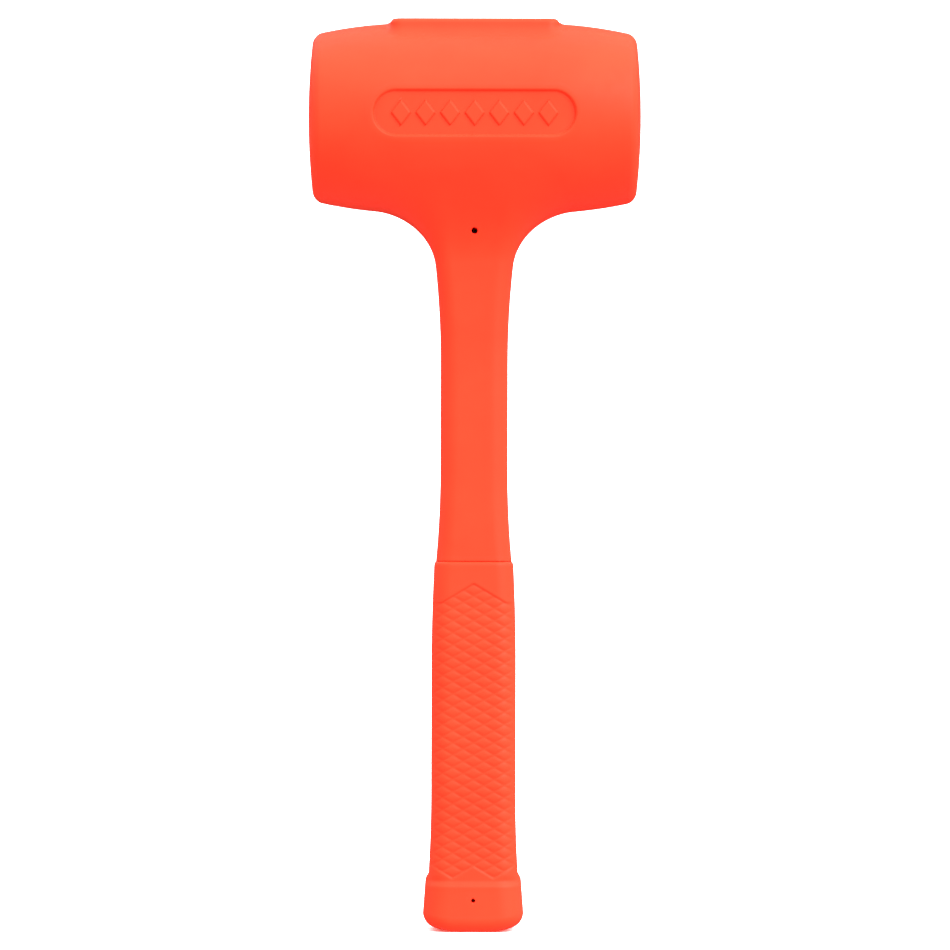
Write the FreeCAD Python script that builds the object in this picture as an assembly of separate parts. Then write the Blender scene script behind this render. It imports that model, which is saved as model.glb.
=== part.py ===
import FreeCAD, Part

import math
import os

# Dead blow mallet: a hollow steel canister, part filled with loose steel shot, is welded to a steel rod.
# The head, neck and shaft are one urethane casting around that skeleton, and a textured grip sleeve with
# a flared butt covers the lower half of the handle.
#
# Frame: millimetres, +Z up the handle, +X along the head from face to face, the front at -Y.
# The origin is the middle of the flat on the underside of the butt.

# Lengths up the handle
GRIP_LENGTH = 146.0
SHAFT_LENGTH = 137.9  # from the top of the grip to the underside of the barrel

# Head: a barrel that is straight in the middle, curves in towards its ends and has domed faces
HEAD_LENGTH = 131.6
BARREL_RADIUS = 37.7
BARREL_STRAIGHT = 47.6
BARREL_CURVE_RADIUS = 174.0
FACE_DOME_RADIUS = 277.0
FACE_EDGE_RADIUS = 3.5

# Flat pad on top of the head, that the mallet stands on with its handle up
PAD_LENGTH = 66.4
PAD_WIDTH = 36.6
PAD_RISE = 0.7
PAD_DRAFT = 0.2  # how far its front and back lean, for each millimetre down
PAD_CORNER_RADIUS = 4.5
PAD_EDGE_RADIUS = 1.6

# Flat-bottomed recess on the front and the back of the head
RECESS_LENGTH = 78.6
RECESS_HEIGHT = 17.6
RECESS_DEPTH = 2.6
RECESS_FLOOR_RADIUS = 0.5

# Row of plain raised lozenges on the recess floor
LOZENGE_COUNT = 7
LOZENGE_PITCH = 9.6
LOZENGE_LENGTH = 8.0
LOZENGE_HEIGHT = 10.4
LOZENGE_RISE = 0.9

# Shaft: a rounded rectangle that is narrowest at its waist and flares both ways
WAIST_INSET_WIDE = 3.4  # how far each side of the waist lies inside the side of the grip
WAIST_INSET_DEEP = 2.8  # the same for its front and back
WAIST_ABOVE_GRIP = 36.5
WAIST_BELOW_BARREL = 59.6
FLARE_RADIUS_LOW = 391.0
FLARE_RADIUS_HIGH = 358.0
DEPTH_FLARE_RADIUS = 740.0
SHAFT_CORNER_RADIUS = 7.0
NECK_FILLET_RADIUS = 21.0

# Grip sleeve, and the core of the casting inside it
GRIP_WIDTH = 33.4
GRIP_DEPTH = 27.6
GRIP_CORNER_RADIUS = 7.5
GRIP_STRAIGHT_LOW = 55.0
GRIP_TAPER_LENGTH = 42.0
GRIP_TAPER_RADIUS = 820.0
GRIP_SWELL_RADIUS = 530.0
GRIP_LIP_RADIUS = 0.8
GRIP_WALL = 3.2
BUTT_FLOOR = 5.0

# Butt: flared sides, an underside that slopes up all round its flat middle, and a soft shoulder
BUTT_FLARE = 3.2  # how far each side of the butt stands out past the side of the grip
BUTT_CORNER_RADIUS = 10.0
BUTT_WIDEST_HEIGHT = 7.0
BUTT_SIDE_DRAFT = 0.073
BUTT_FLAT_WIDTH = 14.2
BUTT_CROWN_RADIUS = 12.0
BUTT_SLOPE = 11.6  # degrees
BUTT_EDGE_RADIUS = 5.3
SHOULDER_LOW = 19.8
SHOULDER_HIGH = 22.6
SHOULDER_EDGE_RADIUS = 1.2

# Steel skeleton
ROD_DIAMETER = 11.0
ROD_END_COVER = 3.0  # urethane under the end of the rod
CANISTER_DIAMETER = 50.8
CANISTER_WALL = 3.0
FACE_THICKNESS = 19.8  # urethane from the canister's end to the middle of a striking face
CAP_FLANGE = 4.0
CAP_SPIGOT = 4.0
CAP_FIT = 0.05  # radial gap between a cap's spigot and the tube
GROOVE_DEPTH = 1.8
WELD_CROWN = 0.7
ROD_WELD_LEG = 4.5

# Holes left by the pins that hold the skeleton in the mould, from front and back down to the rod
NECK_HOLE_DIAMETER = 2.5
NECK_HOLE_BELOW_BARREL = 7.4
BUTT_HOLE_DIAMETER = 1.7
BUTT_HOLE_HEIGHT = 12.6

# Loose shot, lying level along the middle of the canister
SHOT_DIAMETER = 6.0
SHOT_GAP = 0.06
SHOT_WALL_CLEARANCE = 0.3
SHOT_TRAVEL = 7.5  # how far the shot can move each way along the canister
CHARGE_LEVEL = 14.0  # the highest ball's centre above the head's axis

# Places that follow from the sizes above
BARREL_UNDERSIDE = GRIP_LENGTH + SHAFT_LENGTH
AXIS_HEIGHT = BARREL_UNDERSIDE + BARREL_RADIUS
OVERALL_HEIGHT = AXIS_HEIGHT + BARREL_RADIUS + PAD_RISE
CORE_BOTTOM = BUTT_FLOOR
ROD_BOTTOM = CORE_BOTTOM + ROD_END_COVER
ROD_RADIUS = ROD_DIAMETER / 2
CANISTER_RADIUS = CANISTER_DIAMETER / 2
CANISTER_BORE_RADIUS = CANISTER_RADIUS - CANISTER_WALL
TUBE_HALF = HEAD_LENGTH / 2 - FACE_THICKNESS - CAP_FLANGE
CHARGE_LENGTH = 2 * (TUBE_HALF - CAP_SPIGOT - SHOT_TRAVEL)
GRIP_STRAIGHT_HIGH = GRIP_LENGTH - GRIP_TAPER_LENGTH
WAIST_WIDTH = GRIP_WIDTH - 2 * WAIST_INSET_WIDE
WAIST_DEPTH = GRIP_DEPTH - 2 * WAIST_INSET_DEEP
BUTT_WIDTH = GRIP_WIDTH + 2 * BUTT_FLARE
BUTT_DEPTH = GRIP_DEPTH + 2 * BUTT_FLARE

X_AXIS = FreeCAD.Vector(1, 0, 0)
Y_AXIS = FreeCAD.Vector(0, 1, 0)
Z_AXIS = FreeCAD.Vector(0, 0, 1)
HEAD_CENTRE = FreeCAD.Vector(0, 0, AXIS_HEIGHT)


def vec(x, y, z):
    return FreeCAD.Vector(x, y, z)


def arc_rise(run, radius):
    """How far an arc leaves its tangent after this run along the tangent."""
    return radius - math.sqrt(radius**2 - run**2)


def rounded_section(half_width, half_depth, corner, z):
    """A rounded rectangle about the Z axis at height z, as a wire of four lines and four arcs."""
    x, y = half_width, half_depth
    r = min(corner, 0.95 * half_width, 0.95 * half_depth)
    diagonal = r * (1 - math.sqrt(0.5))
    edges = []
    for sx, sy, along_x_first in ((1, 1, False), (-1, 1, True), (-1, -1, False), (1, -1, True)):
        on_side = vec(sx * x, sy * (y - r), z)
        on_face = vec(sx * (x - r), sy * y, z)
        middle = vec(sx * (x - diagonal), sy * (y - diagonal), z)
        if along_x_first:
            edges.append(Part.Arc(on_face, middle, on_side).toShape())
            edges.append(Part.LineSegment(on_side, vec(sx * x, -sy * (y - r), z)).toShape())
        else:
            edges.append(Part.Arc(on_side, middle, on_face).toShape())
            edges.append(Part.LineSegment(on_face, vec(-sx * (x - r), sy * y, z)).toShape())
    return Part.Wire(edges)


def lofted(heights, half_width, half_depth, corner):
    """A solid through rounded sections, whose half sizes and corner are functions of the height."""
    wires = [rounded_section(half_width(z), half_depth(z), corner(z), z) for z in heights]
    return Part.makeLoft(wires, True, False)


def stacked(zones, half_width, half_depth, corner):
    """Lofts one on top of the other, joined into one solid, from a list of heights for each."""
    blocks = [lofted(heights, half_width, half_depth, corner) for heights in zones]
    return blocks[0].multiFuse(blocks[1:])


def steps(low, high, count):
    return [low + (high - low) * i / count for i in range(count + 1)]


def level_edges(solid, z):
    return [e for e in solid.Edges if abs(e.BoundBox.ZMin - z) < 0.01 and abs(e.BoundBox.ZMax - z) < 0.01]


def cylinder_x(radius, low, high):
    """A cylinder on the head's axis between two places along X."""
    return Part.makeCylinder(radius, high - low, vec(low, 0, AXIS_HEIGHT), X_AXIS)


def revolved_on_head(points):
    """A ring or disc turned about the head's axis, from (x, radius) points of its half section."""
    corners = [vec(x, 0, AXIS_HEIGHT + r) for x, r in points]
    outline = Part.makePolygon(corners + corners[:1])
    return Part.Face(outline).revolve(HEAD_CENTRE, X_AXIS, 360)


# Shaft


def shaft_flare(z, radius_low, radius_high):
    """How far the shaft's side has moved out from its waist at height z."""
    waist_low = GRIP_LENGTH + WAIST_ABOVE_GRIP
    waist_high = BARREL_UNDERSIDE - WAIST_BELOW_BARREL
    if z < waist_low:
        return arc_rise(waist_low - z, radius_low)
    if z > waist_high:
        return arc_rise(z - waist_high, radius_high)
    return 0.0


def shaft_half_width(z):
    return WAIST_WIDTH / 2 + shaft_flare(z, FLARE_RADIUS_LOW, FLARE_RADIUS_HIGH)


def shaft_half_depth(z):
    return WAIST_DEPTH / 2 + shaft_flare(z, DEPTH_FLARE_RADIUS, DEPTH_FLARE_RADIUS)


def shaft():
    """The visible shaft, which runs on up into the barrel."""
    waist_low = GRIP_LENGTH + WAIST_ABOVE_GRIP
    waist_high = BARREL_UNDERSIDE - WAIST_BELOW_BARREL
    top = BARREL_UNDERSIDE + BARREL_RADIUS / 3
    zones = [steps(GRIP_LENGTH, waist_low, 3), [waist_low, waist_high], steps(waist_high, top, 4)]
    return stacked(zones, shaft_half_width, shaft_half_depth, lambda z: SHAFT_CORNER_RADIUS)


# Head


def barrel_radius(x):
    """The barrel's radius at a place along the head."""
    return BARREL_RADIUS - arc_rise(max(abs(x) - BARREL_STRAIGHT / 2, 0.0), BARREL_CURVE_RADIUS)


def face_ball(end):
    """The ball that gives one striking face its dome, with its seam turned away from the face."""
    centre = vec(end * (HEAD_LENGTH / 2 - FACE_DOME_RADIUS), 0, AXIS_HEIGHT)
    ball = Part.makeSphere(FACE_DOME_RADIUS, centre)
    ball.rotate(centre, Z_AXIS, 90)
    return ball


def barrel():
    """The barrel with its domed faces and their rounded rims, as one solid about the head's axis."""
    half = HEAD_LENGTH / 2
    side = Part.BSplineCurve()
    side.interpolate([vec(x, 0, AXIS_HEIGHT + barrel_radius(x)) for x in steps(-half, half, 24)])
    end = AXIS_HEIGHT + barrel_radius(half)
    corners = [vec(half, 0, end), vec(half, 0, AXIS_HEIGHT), vec(-half, 0, AXIS_HEIGHT), vec(-half, 0, end)]
    outline = Part.Wire([side.toShape(), *Part.makePolygon(corners).Edges])
    solid = Part.Face(outline).revolve(HEAD_CENTRE, X_AXIS, 360)
    solid = solid.common(face_ball(-1)).common(face_ball(1))
    rims = [e for e in solid.Edges if e.BoundBox.XLength < 0.01 and e.Length > HEAD_LENGTH]
    return solid.makeFillet(FACE_EDGE_RADIUS, rims)


def neck_edges(solid):
    """The edges where the shaft enters the barrel."""
    found = []
    for edge in solid.Edges:
        box = edge.BoundBox
        below_barrel = box.ZMin > BARREL_UNDERSIDE - 0.5 and box.ZMax < AXIS_HEIGHT - BARREL_RADIUS / 2
        near_shaft = max(abs(box.XMin), abs(box.XMax)) < shaft_half_width(BARREL_UNDERSIDE) * 1.15
        level = box.ZLength < BARREL_RADIUS / 4
        if below_barrel and near_shaft and level:
            found.append(edge)
    return found


def top_pad():
    """The flat pad, down to the head's axis, with leaning front and back."""
    block = lofted(
        [AXIS_HEIGHT, OVERALL_HEIGHT],
        lambda z: PAD_LENGTH / 2,
        lambda z: PAD_WIDTH / 2 + PAD_DRAFT * (OVERALL_HEIGHT - z),
        lambda z: PAD_CORNER_RADIUS,
    )
    return block.makeFillet(PAD_EDGE_RADIUS, level_edges(block, OVERALL_HEIGHT))


def recess(side):
    """The stadium cut into one side of the barrel; side is -1 for the front and 1 for the back."""
    floor_y = BARREL_RADIUS - RECESS_DEPTH
    straight = RECESS_LENGTH - RECESS_HEIGHT
    tool = Part.makeBox(
        straight, BARREL_RADIUS, RECESS_HEIGHT, vec(-straight / 2, floor_y, AXIS_HEIGHT - RECESS_HEIGHT / 2)
    )
    for end in (-1, 1):
        tool = tool.fuse(
            Part.makeCylinder(
                RECESS_HEIGHT / 2, BARREL_RADIUS, vec(end * straight / 2, floor_y, AXIS_HEIGHT), Y_AXIS
            )
        )
    tool = tool.removeSplitter()
    rim = [e for e in tool.Edges if abs(e.BoundBox.YMax - floor_y) < 0.01 and e.BoundBox.YLength < 0.01]
    tool = tool.makeFillet(RECESS_FLOOR_RADIUS, rim).cut(lozenges(floor_y))
    if side < 0:
        tool = tool.mirror(vec(0, 0, 0), Y_AXIS)
    return tool


def lozenges(floor_y):
    """The row of lozenges that stands on the recess floor."""
    half_length = LOZENGE_LENGTH / 2
    half_height = LOZENGE_HEIGHT / 2
    row = []
    for i in range(LOZENGE_COUNT):
        x = (i - (LOZENGE_COUNT - 1) / 2) * LOZENGE_PITCH
        corners = [
            vec(x - half_length, floor_y, AXIS_HEIGHT),
            vec(x, floor_y, AXIS_HEIGHT - half_height),
            vec(x + half_length, floor_y, AXIS_HEIGHT),
            vec(x, floor_y, AXIS_HEIGHT + half_height),
        ]
        outline = Part.makePolygon(corners + corners[:1])
        row.append(Part.Face(outline).extrude(vec(0, LOZENGE_RISE, 0)))
    return Part.makeCompound(row)


# Skeleton


def weld_groove(side):
    """The V-groove between the tube and one cap, as a ring of triangular section."""
    seam = side * TUBE_HALF
    return revolved_on_head(
        [
            (seam - GROOVE_DEPTH, CANISTER_RADIUS),
            (seam, CANISTER_RADIUS - GROOVE_DEPTH),
            (seam + GROOVE_DEPTH, CANISTER_RADIUS),
        ]
    )


def rod():
    """The handle rod. Its flat top end lies in the tube's wall, clear of the shot."""
    top = AXIS_HEIGHT - math.sqrt(CANISTER_BORE_RADIUS**2 - ROD_RADIUS**2)
    return Part.makeCylinder(ROD_RADIUS, top - ROD_BOTTOM, vec(0, 0, ROD_BOTTOM))


def chamber():
    """The round space inside the tube, from end to end."""
    return cylinder_x(CANISTER_BORE_RADIUS, -TUBE_HALF, TUBE_HALF)


def canister_tube():
    tube = cylinder_x(CANISTER_RADIUS, -TUBE_HALF, TUBE_HALF).cut(chamber())
    rod_hole = Part.makeCylinder(ROD_RADIUS, CANISTER_RADIUS, HEAD_CENTRE, -Z_AXIS)
    return tube.cut(rod_hole).cut(weld_groove(-1)).cut(weld_groove(1))


def canister_cap(side):
    """A flanged disc whose spigot enters the tube; side is -1 for left and 1 for right."""
    seam = TUBE_HALF
    spigot_radius = CANISTER_BORE_RADIUS - CAP_FIT
    flange = cylinder_x(CANISTER_RADIUS, seam, seam + CAP_FLANGE)
    spigot = cylinder_x(spigot_radius, seam - CAP_SPIGOT, seam)
    cap = flange.fuse(spigot).removeSplitter().cut(weld_groove(1))
    if side < 0:
        cap = cap.mirror(HEAD_CENTRE, X_AXIS)
    return cap


def cap_weld(side):
    """The bead that fills the groove and stands a little proud of the canister."""
    seam = side * TUBE_HALF

    def at(x, radius):
        return vec(x, 0, AXIS_HEIGHT + radius)

    crown = Part.Arc(
        at(seam - GROOVE_DEPTH, CANISTER_RADIUS),
        at(seam, CANISTER_RADIUS + WELD_CROWN),
        at(seam + GROOVE_DEPTH, CANISTER_RADIUS),
    )
    root = at(seam, CANISTER_RADIUS - GROOVE_DEPTH)
    flanks = [
        Part.LineSegment(at(seam + GROOVE_DEPTH, CANISTER_RADIUS), root),
        Part.LineSegment(root, at(seam - GROOVE_DEPTH, CANISTER_RADIUS)),
    ]
    outline = Part.Wire([curve.toShape() for curve in (crown, *flanks)])
    return Part.Face(outline).revolve(HEAD_CENTRE, X_AXIS, 360)


def rod_weld():
    """The fillet weld round the rod, cut to the canister and the rod."""
    surface = AXIS_HEIGHT - CANISTER_RADIUS
    lower = surface - ROD_WELD_LEG
    toe = ROD_RADIUS + ROD_WELD_LEG
    upper = surface + arc_rise(toe, CANISTER_RADIUS) + ROD_WELD_LEG / 4
    bulge = vec(ROD_RADIUS + 0.62 * ROD_WELD_LEG, 0, surface - 0.55 * ROD_WELD_LEG)
    face = Part.Arc(vec(ROD_RADIUS, 0, lower), bulge, vec(toe, 0, surface))
    corners = [vec(toe, 0, surface), vec(toe, 0, upper), vec(ROD_RADIUS, 0, upper), vec(ROD_RADIUS, 0, lower)]
    outline = Part.Wire([face.toShape(), *Part.makePolygon(corners).Edges])
    bead = Part.Face(outline).revolve(vec(0, 0, 0), Z_AXIS, 360)
    return bead.cut(cylinder_x(CANISTER_RADIUS, -TUBE_HALF, TUBE_HALF))


# Handle core and grip sleeve


def handle_core():
    """The part of the casting inside the grip sleeve."""
    half_width = GRIP_WIDTH / 2 - GRIP_WALL
    half_depth = GRIP_DEPTH / 2 - GRIP_WALL
    return lofted(
        [CORE_BOTTOM, GRIP_LENGTH],
        lambda z: half_width,
        lambda z: half_depth,
        lambda z: GRIP_CORNER_RADIUS - GRIP_WALL / 2,
    )


def sleeve_half(z, grip, butt):
    """Half the sleeve's width or depth at height z, from that size of the grip and of the butt."""
    if z <= SHOULDER_LOW:
        return butt / 2 - BUTT_SIDE_DRAFT * (z - BUTT_WIDEST_HEIGHT)
    half = grip / 2
    if z < GRIP_STRAIGHT_LOW:
        half += arc_rise(GRIP_STRAIGHT_LOW - z, GRIP_SWELL_RADIUS)
    if z > GRIP_STRAIGHT_HIGH:
        half -= arc_rise(z - GRIP_STRAIGHT_HIGH, GRIP_TAPER_RADIUS)
    return half


def sleeve_half_width(z):
    return sleeve_half(z, GRIP_WIDTH, BUTT_WIDTH)


def sleeve_half_depth(z):
    return sleeve_half(z, GRIP_DEPTH, BUTT_DEPTH)


def sleeve_corner(z):
    return BUTT_CORNER_RADIUS if z <= SHOULDER_LOW else GRIP_CORNER_RADIUS


def butt_underside():
    """A bar along Y, flat in its middle and sloping up to each side, that shapes the underside."""
    flat = BUTT_FLAT_WIDTH / 2
    slope = math.radians(BUTT_SLOPE)
    bend = BUTT_CROWN_RADIUS * math.sin(slope)
    halfway = BUTT_CROWN_RADIUS * math.sin(slope / 2)
    rise = arc_rise(bend, BUTT_CROWN_RADIUS)
    reach = BUTT_WIDTH / 2 + BUTT_EDGE_RADIUS - flat
    front = -BUTT_DEPTH
    crowns = []
    for side in (-1, 1):
        start = vec(side * flat, front, 0)
        middle = vec(side * (flat + halfway), front, arc_rise(halfway, BUTT_CROWN_RADIUS))
        crowns.append(Part.Arc(start, middle, vec(side * (flat + bend), front, rise)).toShape())
    corners = [vec(flat + bend, front, rise), vec(flat + reach, front, rise + (reach - bend) * math.tan(slope))]
    corners.append(vec(flat + reach, front, SHOULDER_LOW))
    corners += [vec(-c.x, c.y, c.z) for c in reversed(corners)]
    floor = Part.makeLine(vec(-flat, front, 0), vec(flat, front, 0))
    outline = Part.Wire([floor, crowns[1], *Part.makePolygon(corners).Edges, crowns[0]])
    return Part.Face(outline).extrude(vec(0, 2 * BUTT_DEPTH, 0))


def butt():
    """The flared butt, up to its shoulder."""
    block = lofted([0, SHOULDER_LOW], sleeve_half_width, sleeve_half_depth, sleeve_corner)
    block = block.common(butt_underside())
    outside = 0.95 * BUTT_DEPTH / 2
    rim = []
    for edge in block.Edges:
        centre = edge.CenterOfMass
        if edge.BoundBox.ZMax < SHOULDER_LOW / 2 and math.hypot(centre.x, centre.y) > outside:
            rim.append(edge)
    return block.makeFillet(BUTT_EDGE_RADIUS, rim)


def grip_sleeve():
    """The sleeve from its butt to the lip round the shaft, hollow for the core."""
    zones = [
        [SHOULDER_LOW, SHOULDER_HIGH],
        steps(SHOULDER_HIGH, GRIP_STRAIGHT_LOW, 3),
        [GRIP_STRAIGHT_LOW, GRIP_STRAIGHT_HIGH],
        steps(GRIP_STRAIGHT_HIGH, GRIP_LENGTH, 3),
    ]
    outer = stacked(zones, sleeve_half_width, sleeve_half_depth, sleeve_corner).fuse(butt())
    shoulder = level_edges(outer, SHOULDER_LOW) + level_edges(outer, SHOULDER_HIGH)
    outer = outer.makeFillet(SHOULDER_EDGE_RADIUS, shoulder)
    outer = outer.makeFillet(GRIP_LIP_RADIUS, level_edges(outer, GRIP_LENGTH))
    return outer.cut(handle_core()).cut(pin_holes())


# Casting


def pin_holes():
    """The mould pins' holes, as round tools from in front of the mallet to behind it."""
    reach = 2 * BARREL_RADIUS
    tools = []
    for diameter, z in (
        (NECK_HOLE_DIAMETER, BARREL_UNDERSIDE - NECK_HOLE_BELOW_BARREL),
        (BUTT_HOLE_DIAMETER, BUTT_HOLE_HEIGHT),
    ):
        tools.append(Part.makeCylinder(diameter / 2, 2 * reach, vec(0, -reach, z), Y_AXIS))
    return Part.makeCompound(tools)


def head_casting(skeleton):
    """Head, neck, shaft and core as one casting, hollow where the skeleton lies."""
    body = barrel().fuse(shaft())
    body = body.makeFillet(NECK_FILLET_RADIUS, neck_edges(body))
    body = body.fuse(top_pad()).fuse(handle_core())
    for side in (-1, 1):
        body = body.cut(recess(side))
    body = body.cut(pin_holes())
    for piece in skeleton:
        body = body.cut(piece)
    return body.cut(chamber())


# Shot


def shot_layer(x, shifted):
    """One layer of balls across the canister, close packed; every second layer is shifted to nest."""
    pitch = SHOT_DIAMETER + SHOT_GAP
    row_pitch = pitch * math.sqrt(3) / 2
    furthest = CANISTER_BORE_RADIUS - SHOT_DIAMETER / 2 - SHOT_WALL_CLEARANCE
    rows = math.ceil(furthest / row_pitch)
    columns = math.ceil(furthest / pitch) + 1
    balls = []
    for row in range(-rows, rows + 1):
        z = (row + (1 / 3 if shifted else 0)) * row_pitch
        for column in range(-columns, columns + 1):
            y = (column + (row % 2) / 2 + (0.5 if shifted else 0)) * pitch
            if math.hypot(y, z) <= furthest and z <= CHARGE_LEVEL:
                balls.append(Part.makeSphere(SHOT_DIAMETER / 2, vec(x, y, AXIS_HEIGHT + z)))
    return balls


def shot_charge():
    """All the balls, in nested layers from left to right, centred on the handle."""
    pitch = (SHOT_DIAMETER + SHOT_GAP) * math.sqrt(2 / 3)
    count = int((CHARGE_LENGTH - SHOT_DIAMETER) / pitch) + 1
    balls = []
    for i in range(count):
        balls += shot_layer((i - (count - 1) / 2) * pitch, i % 2 == 1)
    return Part.makeCompound(balls)


def build():
    """Every node of the mallet by name."""
    skeleton = {
        "canister_tube": canister_tube(),
        "canister_cap_left": canister_cap(-1),
        "canister_cap_right": canister_cap(1),
        "cap_weld_left": cap_weld(-1),
        "cap_weld_right": cap_weld(1),
        "handle_rod": rod(),
        "rod_weld": rod_weld(),
    }
    nodes = dict(skeleton)
    nodes["head_casting"] = head_casting(skeleton.values())
    nodes["grip_sleeve"] = grip_sleeve()
    nodes["shot_charge"] = shot_charge()
    return nodes


def main():
    os.makedirs("parts", exist_ok=True)
    for name, shape in build().items():
        piece = shape if len(shape.Solids) > 1 else shape.Solids[0]
        piece.exportStep(f"parts/{name}.step")
        print(name, "valid" if piece.isValid() else "NOT VALID", len(piece.Solids), round(piece.Volume, 1))


main()
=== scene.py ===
import logging
import math
from dataclasses import dataclass
from enum import Enum
from typing import Callable, Iterable, Sequence

import bmesh
import bpy
import numpy as np
from mathutils import Euler, Matrix, Vector


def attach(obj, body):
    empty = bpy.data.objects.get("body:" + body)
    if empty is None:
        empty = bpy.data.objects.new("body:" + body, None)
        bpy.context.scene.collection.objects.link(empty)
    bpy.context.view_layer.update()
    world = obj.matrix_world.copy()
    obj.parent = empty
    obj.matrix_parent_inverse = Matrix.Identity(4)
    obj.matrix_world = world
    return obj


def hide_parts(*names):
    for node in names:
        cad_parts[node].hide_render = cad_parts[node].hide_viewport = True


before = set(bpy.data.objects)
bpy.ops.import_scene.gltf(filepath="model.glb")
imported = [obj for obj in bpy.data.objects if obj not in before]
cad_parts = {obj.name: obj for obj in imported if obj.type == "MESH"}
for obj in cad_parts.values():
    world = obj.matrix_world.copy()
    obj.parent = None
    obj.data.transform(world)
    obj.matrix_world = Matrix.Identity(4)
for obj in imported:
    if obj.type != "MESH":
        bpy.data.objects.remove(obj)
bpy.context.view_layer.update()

MM = 0.001
MALLET_BODY = "mallet"
SHOT_BODY = "shot"

# Sizes that several pieces share, in mm.
HEAD_AXIS_HEIGHT = 321.6
GRIP_TOP = 146.0

Array = np.ndarray
Colour = tuple[float, float, float]
DistanceField = Callable[[Array], Array]

log = logging.getLogger("mallet")


class Side(Enum):
    """The front and the back of the mallet, as the sign of Y there."""

    FRONT = -1
    BACK = 1


# ---------------------------------------------------------------------------------------------
# Distance fields. A point array has shape (n, 3) in millimetres, and a distance is negative
# inside the solid.
# ---------------------------------------------------------------------------------------------


def arc_rise(run: Array, radius: float) -> Array:
    """Finds how far an arc has left its tangent after each run along it, in mm."""
    return radius - np.sqrt(radius**2 - np.square(run))


def round_union(a: Array, b: Array, radius: float) -> Array:
    """Joins two solids, given by their distances, with a round fillet between them."""
    blend = np.hypot(np.maximum(radius - a, 0.0), np.maximum(radius - b, 0.0))
    return np.maximum(radius, np.minimum(a, b)) - blend


def round_common(a: Array, b: Array, radius: float) -> Array:
    """Keeps what two solids, given by their distances, share, with a rounded edge."""
    blend = np.hypot(np.maximum(radius + a, 0.0), np.maximum(radius + b, 0.0))
    return np.minimum(-radius, np.maximum(a, b)) + blend


def rounded_rectangle(u: Array, v: Array, half_u: Array, half_v: Array, corner: float) -> Array:
    """Measures the distance to a rounded rectangle in a plane.

    Args:
        u: first coordinate of the points.
        v: second coordinate of the points.
        half_u: half size along u, one value or one for each point.
        half_v: half size along v, one value or one for each point.
        corner: corner radius, in mm.

    Returns:
        Signed distances in the plane.
    """
    past_u = np.abs(u) - (half_u - corner)
    past_v = np.abs(v) - (half_v - corner)
    outside = np.hypot(np.maximum(past_u, 0.0), np.maximum(past_v, 0.0))
    return outside + np.minimum(np.maximum(past_u, past_v), 0.0) - corner


def slopes(distance: DistanceField, points: Array, step: float = 0.02) -> Array:
    """Finds the unit normals of a distance field by central differences.

    Args:
        distance: the field.
        points: where to find them.
        step: half the span of each difference, in mm.

    Returns:
        Unit vectors, one for each point.
    """
    normals = np.empty_like(points)
    for axis in range(3):
        shift = np.zeros(3)
        shift[axis] = step
        normals[:, axis] = distance(points + shift) - distance(points - shift)
    length = np.linalg.norm(normals, axis=1, keepdims=True)
    return normals / np.maximum(length, 1e-9)


def raised(flat: Array, height: float) -> Array:
    """Lifts the points (x, y) of a section to a height in mm."""
    return np.column_stack([flat, np.full(len(flat), height)])


def settle(distance: DistanceField, points: Array, rounds: int, limit: float = 1.0) -> Array:
    """Moves points onto the surface of a distance field.

    Args:
        distance: the field.
        points: points near its surface.
        rounds: number of steps.
        limit: longest step, in mm.

    Returns:
        The points on the surface.
    """
    for _ in range(rounds):
        step = np.clip(distance(points), -limit, limit)
        points = points - slopes(distance, points) * step[:, None]
    return points


# ---------------------------------------------------------------------------------------------
# The casting's forms
# ---------------------------------------------------------------------------------------------


@dataclass(frozen=True)
class Barrel:
    """The head's barrel: straight in its middle, curving in towards domed faces."""

    axis_height: float = HEAD_AXIS_HEIGHT
    length: float = 131.6
    radius: float = 37.7
    straight: float = 47.6
    curve_radius: float = 174.0
    dome_radius: float = 277.0
    rim_radius: float = 3.2

    def distance(self, p: Array) -> Array:
        """Measures the distance to the barrel.

        Args:
            p: points in mm.

        Returns:
            Signed distances.
        """
        reach = np.hypot(p[:, 1], p[:, 2] - self.axis_height)
        run = np.maximum(np.abs(p[:, 0]) - self.straight / 2, 0.0)
        side = np.hypot(run, reach + self.curve_radius - self.radius) - self.curve_radius
        centre = self.length / 2 - self.dome_radius
        dome = np.hypot(np.abs(p[:, 0]) - centre, reach) - self.dome_radius
        return round_common(side, dome, self.rim_radius)


@dataclass(frozen=True)
class Shaft:
    """The shaft from the grip up into the barrel, narrowest at its waist."""

    bottom: float = GRIP_TOP
    top: float = 300.0
    width: float = 26.6
    depth: float = 22.0
    waist_low: float = 182.5
    waist_high: float = 224.3
    flare_low: float = 391.0
    flare_high: float = 358.0
    depth_flare: float = 740.0
    corner: float = 7.0
    edge: float = 0.12

    def half_sizes(self, z: Array) -> tuple[Array, Array]:
        """Finds the half width and half depth of the shaft.

        Args:
            z: heights in mm.

        Returns:
            Half widths and half depths at those heights.
        """
        below = np.maximum(self.waist_low - z, 0.0)
        above = np.maximum(z - self.waist_high, 0.0)
        half_width = self.width / 2 + arc_rise(below, self.flare_low)
        half_width = half_width + arc_rise(above, self.flare_high)
        half_depth = self.depth / 2 + arc_rise(below + above, self.depth_flare)
        return half_width, half_depth

    def distance(self, p: Array) -> Array:
        """Measures the distance to the shaft.

        Args:
            p: points in mm.

        Returns:
            Signed distances.
        """
        half_width, half_depth = self.half_sizes(np.clip(p[:, 2], self.bottom, self.top))
        side = rounded_rectangle(p[:, 0], p[:, 1], half_width, half_depth, self.corner)
        ends = np.maximum(self.bottom - p[:, 2], p[:, 2] - self.top)
        return round_common(side, ends, self.edge)


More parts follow.
